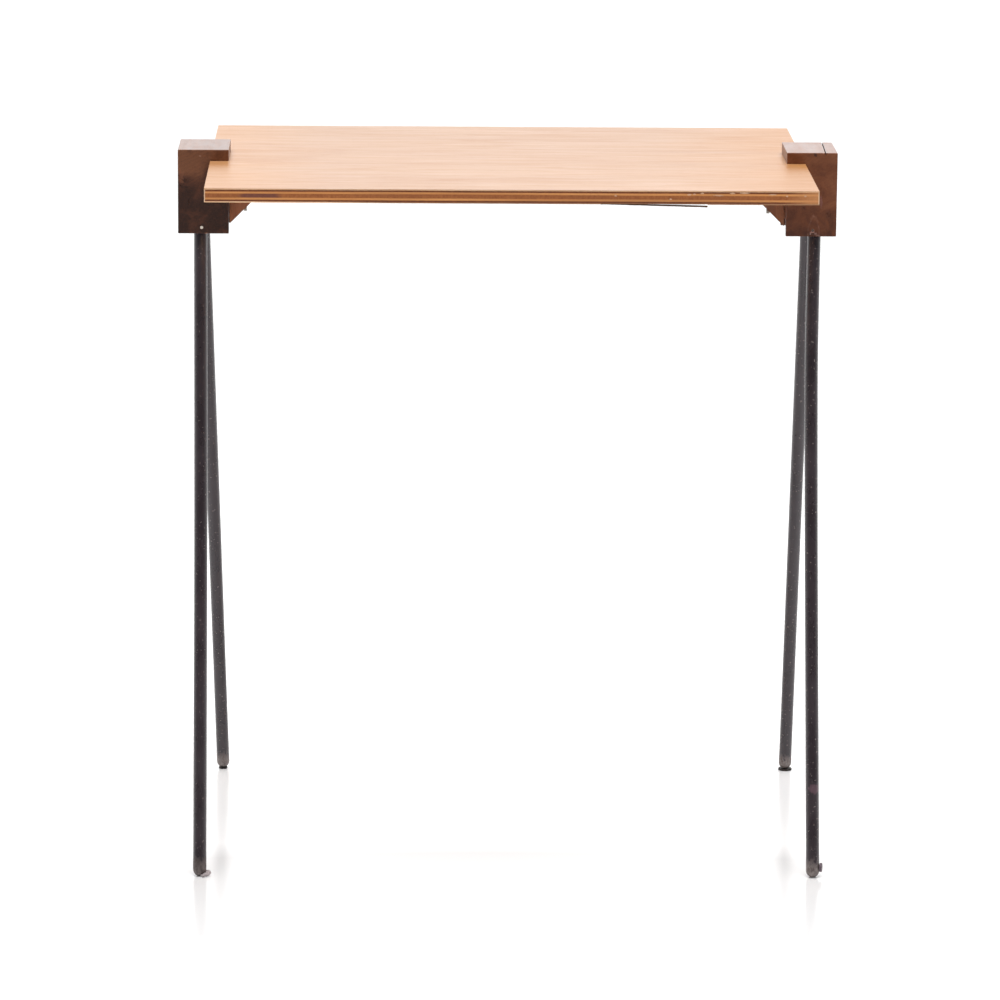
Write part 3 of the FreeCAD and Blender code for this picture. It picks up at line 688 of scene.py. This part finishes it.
def crack(block_low, block_high):
    """A thin ragged wedge to split the top of the right block from front to back."""
    shape = bmesh.new()
    bmesh.ops.create_cube(shape, size=1.0)
    wedge = (CRACK_WIDTH, block_high.y - block_low.y + 0.004, 0.0024)
    bmesh.ops.scale(shape, vec=wedge, verts=shape.verts[:])
    bmesh.ops.translate(shape, vec=(0, 0, block_high.z), verts=shape.verts[:])
    cut_rings(shape, Vector((0, 1, 0)), steps(block_low.y, block_high.y, 0.0045))
    wander = {}
    for vert in shape.verts:
        row = round(vert.co.y, 4)
        wander.setdefault(row, random.uniform(-0.0004, 0.0004))
        if vert.co.z < block_high.z:
            vert.co.x *= 0.3
            vert.co.z -= CRACK_DEPTH * min(1.0, max(0.0, vert.co.y - block_low.y) / CRACK_RUN_IN)
        along = (vert.co.y - block_low.y) / (block_high.y - block_low.y)
        vert.co.x += block_high.x - CRACK_FROM_OUTSIDE + CRACK_DRIFT * along + wander[row]
    return shape


def bite(centre, radii, ragged):
    """A ragged ball, to break a piece of wood away."""
    shape = bmesh.new()
    bmesh.ops.create_icosphere(shape, subdivisions=4, radius=1.0)
    for vert in shape.verts:
        vert.co *= 1 + random.uniform(-ragged, ragged)
    bmesh.ops.smooth_vert(
        shape, verts=shape.verts[:], factor=0.5, use_axis_x=True, use_axis_y=True, use_axis_z=True
    )
    bmesh.ops.scale(shape, vec=radii, verts=shape.verts[:])
    bmesh.ops.translate(shape, vec=centre, verts=shape.verts[:])
    return shape


left_low, left_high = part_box("left_end_block")
right_low, right_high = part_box("right_end_block")


def on_left_front(inward, up):
    """A place on the left block's front, in from its outer side and up from its underside."""
    return (left_low.x + inward, left_low.y, left_low.z + up)


def on_right_front(inward, up):
    """A place on the right block's front, in from its outer side and up from its underside."""
    return (right_high.x - inward, right_low.y, right_low.z + up)


def in_crack(inward, back):
    """A place just under the right block's top, in from its outer side and back from its middle."""
    return (right_high.x - inward, back, right_high.z - 0.001)


left_marks = (
    (on_left_front(0.02185, 0.0763), (0.0012, 0.002, 0.001), 0.35, shade(180, 140, 120)),
    (on_left_front(0.0275, 0.0005), (0.0016, 0.003, 0.0008), 0.6, shade(170, 120, 96)),
    (on_left_front(0.003, 0.057), (0.003, 0.003, 0.008), 0.3, shade(140, 88, 62)),
)
right_marks = (
    # The first three marks are painted shade, darkening the wood just under the top along the crack.
    (in_crack(0.0115, -0.024), (0.0012, 0.0125, 0.006), 0.9, shade(34, 18, 14)),
    (in_crack(0.011, 0.0), (0.0012, 0.0125, 0.006), 0.9, shade(34, 18, 14)),
    (in_crack(0.0104, 0.024), (0.0012, 0.0125, 0.006), 0.9, shade(34, 18, 14)),
    (on_right_front(0.0218, 0.0803), (0.0022, 0.004, 0.0016), 0.75, shade(48, 26, 20)),
    # A painted sheen: a mauve patch of reflected light on the block's front.
    (on_right_front(0.0154, 0.0347), (0.0014, 0.003, 0.0064), 0.4, shade(128, 88, 86)),
    (on_right_front(0.023, 0.005), (0.0017, 0.004, 0.0014), 0.8, shade(184, 136, 126)),
    (on_right_front(0.0253, 0.0033), (0.0008, 0.004, 0.0018), 0.6, shade(176, 132, 120)),
    (on_right_front(0.0203, 0.0027), (0.0018, 0.004, 0.0012), 0.5, shade(156, 118, 108)),
    (on_right_front(0.0181, 0.0011), (0.0022, 0.004, 0.0009), 0.5, shade(150, 118, 110)),
)
dark_walnut = block_finish(
    "dark_walnut",
    (shade(42, 21, 13), shade(76, 42, 27), shade(112, 69, 45)),
    surface,
    (0.636, 0.668),
    (-0.286, -0.302),
    left_marks,
)
red_walnut = block_finish(
    "red_walnut",
    (shade(74, 38, 22), shade(103, 57, 33), shade(118, 70, 44)),
    surface,
    (0.604, 0.634, 0.12, 0.56),
    (0.26, 0.27),
    right_marks,
    ((on_right_front(0.0222, 0.0005), (0.0058, 0.004, 0.02), 0.35, shade(150, 108, 94)),),
)
left_block = whole_copy("left_end_block")
settle("worn_left_end_block", left_block, dark_walnut, "dark_wood", "table", "left_end_block", crease=0.02)
right_block = carve(
    whole_copy("right_end_block"),
    crack(right_low, right_high),
    bite(Vector(on_right_front(0.0222, 0.0007)), (0.0052, 0.0013, 0.0038), 0.18),
)
settle("split_right_end_block", right_block, red_walnut, "dark_wood", "table", "right_end_block", crease=0.02)

left_gusset_low, left_gusset_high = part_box("left_gusset")
right_gusset_low, right_gusset_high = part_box("right_gusset")


def on_left_gusset(inward, down):
    """A place on the left gusset's front, in from its block and down from the tabletop."""
    return (left_gusset_low.x + inward, left_gusset_low.y, left_gusset_high.z - down)


def on_right_gusset(inward, down):
    """A place on the right gusset's front, in from its block and down from the tabletop."""
    return (right_gusset_high.x - inward, right_gusset_low.y, right_gusset_high.z - down)


gusset_wood = gusset_finish((
    (on_left_gusset(0.0015, 0.0043), (0.0026, 0.004, 0.0032), 0.85, shade(60, 36, 28)),
    (on_left_gusset(0.0025, 0.0103), (0.002, 0.004, 0.005), 0.55, shade(226, 182, 160)),
    (on_right_gusset(0.0023, 0.0088), (0.003, 0.004, 0.005), 0.8, shade(70, 40, 32)),
    # A painted highlight: a tiny pale glint on the right gusset.
    (on_right_gusset(0.0042, 0.0101), (0.001, 0.004, 0.001), 0.8, shade(226, 186, 176)),
))
for node in ("left_gusset", "right_gusset"):
    paint(node, gusset_wood)

# ---------------------------------------------------------------- the folding legs

# The height of each bow's middle and how far it bends to the right, in metres.
ROD_BOWS = {"left_front_leg": (0.32, 0.0006), "right_front_leg": (0.462, -0.00275)}
PAD_SLIPPED = ("left_front_leg", "right_front_leg")
BARE_STEEL_LENGTH = 0.011
foot_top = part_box("left_front_leg")[0].z + BARE_STEEL_LENGTH
bright_steel = (shade(92, 80, 77), shade(150, 140, 137))
dull_steel = (shade(74, 62, 60), shade(122, 112, 110))
right_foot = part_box("right_front_leg")[0]
mauve_patch = ((right_foot.x + 0.008, right_foot.y + 0.02, 0.0835), (0.006, 0.03, 0.0048))
paints = {
    "left_front_leg": rod_paint_finish("left_front_rod_paint", foot_top, 0.0, dull_steel),
    "right_front_leg": rod_paint_finish("right_front_rod_paint", foot_top, 0.0, bright_steel, mauve_patch),
    "left_rear_leg": rod_paint_finish("rear_rod_paint", foot_top, 0.05, bright_steel),
}
paints["right_rear_leg"] = paints["left_rear_leg"]
for side in ("left", "right"):
    for end in ("front", "rear"):
        node = f"{side}_{end}_leg"
        rod = whole_copy(node)
        peak, push = ROD_BOWS.get(node, (0.3, 0.0))
        bow_rod(rod, peak, push)
        if node in PAD_SLIPPED:
            reach_floor(rod, 0.0003)
        settle(f"worn_{node}", rod, paints[node], "black_paint", f"{side}_leg_frame", node)

dark_rubber = pad_finish("scuffed_rubber", (shade(36, 31, 30), shade(58, 50, 47), shade(112, 100, 94)))
dull_rubber = pad_finish("dull_rubber", (shade(92, 78, 86), shade(118, 102, 110), shade(152, 138, 144)))
# The left front disc is painted pale, a painted highlight standing in for the bright glint on it.
pale_rubber = pad_finish("pale_rubber_painted_highlight", (shade(150, 138, 140), shade(196, 184, 186), shade(220, 212, 212)))


def foot_pad(leg, radius, thickness, material, tilts, offset):
    """A foot's rubber disc, turned about Y then X then Z, and moved from the middle of its foot."""
    low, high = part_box(f"{leg}_foot_pad")
    disc = pad_disc(radius, thickness)
    for tilt, axis in zip(tilts, "YXZ"):
        bmesh.ops.rotate(disc, cent=(0, 0, 0), matrix=Matrix.Rotation(tilt, 3, axis), verts=disc.verts[:])
    place = Vector(((low.x + high.x) / 2, (low.y + high.y) / 2, 0.0)) + Vector(offset)
    bmesh.ops.translate(disc, vec=place, verts=disc.verts[:])
    body = leg.split("_")[0] + "_leg_frame"
    settle(f"worn_{leg}_pad", disc, material, "pad_rubber", body, f"{leg}_foot_pad")


foot_pad("right_rear", 0.00715, 0.002, dark_rubber, (0.0, 0.0, 0.0), (0.0, 0.0, 0.001))
foot_pad("left_rear", 0.0045, 0.002, dark_rubber, (0.0, 0.0, 0.0), (0.0, 0.0, 0.001))
foot_pad("left_front", 0.0054, 0.0019, pale_rubber, (-0.25, 0.24, 0.0), (0.0058, -0.0035, 0.003))
foot_pad("right_front", 0.0045, 0.0022, dull_rubber, (math.pi / 2, 0.0, -0.25), (0.0078, 0.0, 0.0095))

pin_steel = steel_finish("hinge_steel", shade(246, 238, 226), shade(190, 176, 160), 0.35)
dull_pin = steel_finish("dull_hinge_steel", shade(104, 90, 82), shade(62, 48, 42), 0.6)
screw_steel = steel_finish("screw_steel", shade(150, 140, 128), shade(82, 70, 60), 0.6)
paint("left_hinge_pin", pin_steel)
paint("right_hinge_pin", dull_pin)
for side in ("left", "right"):
    paint(f"{side}_hinge_sleeve", pin_steel)
    paint(f"{side}_hinge_bushes", pin_steel)
for node in ("gusset_side_screws", "gusset_top_screws"):
    paint(node, screw_steel)

lay_floor()
light_studio()
place_camera()
scene.view_settings.view_transform = "Standard"
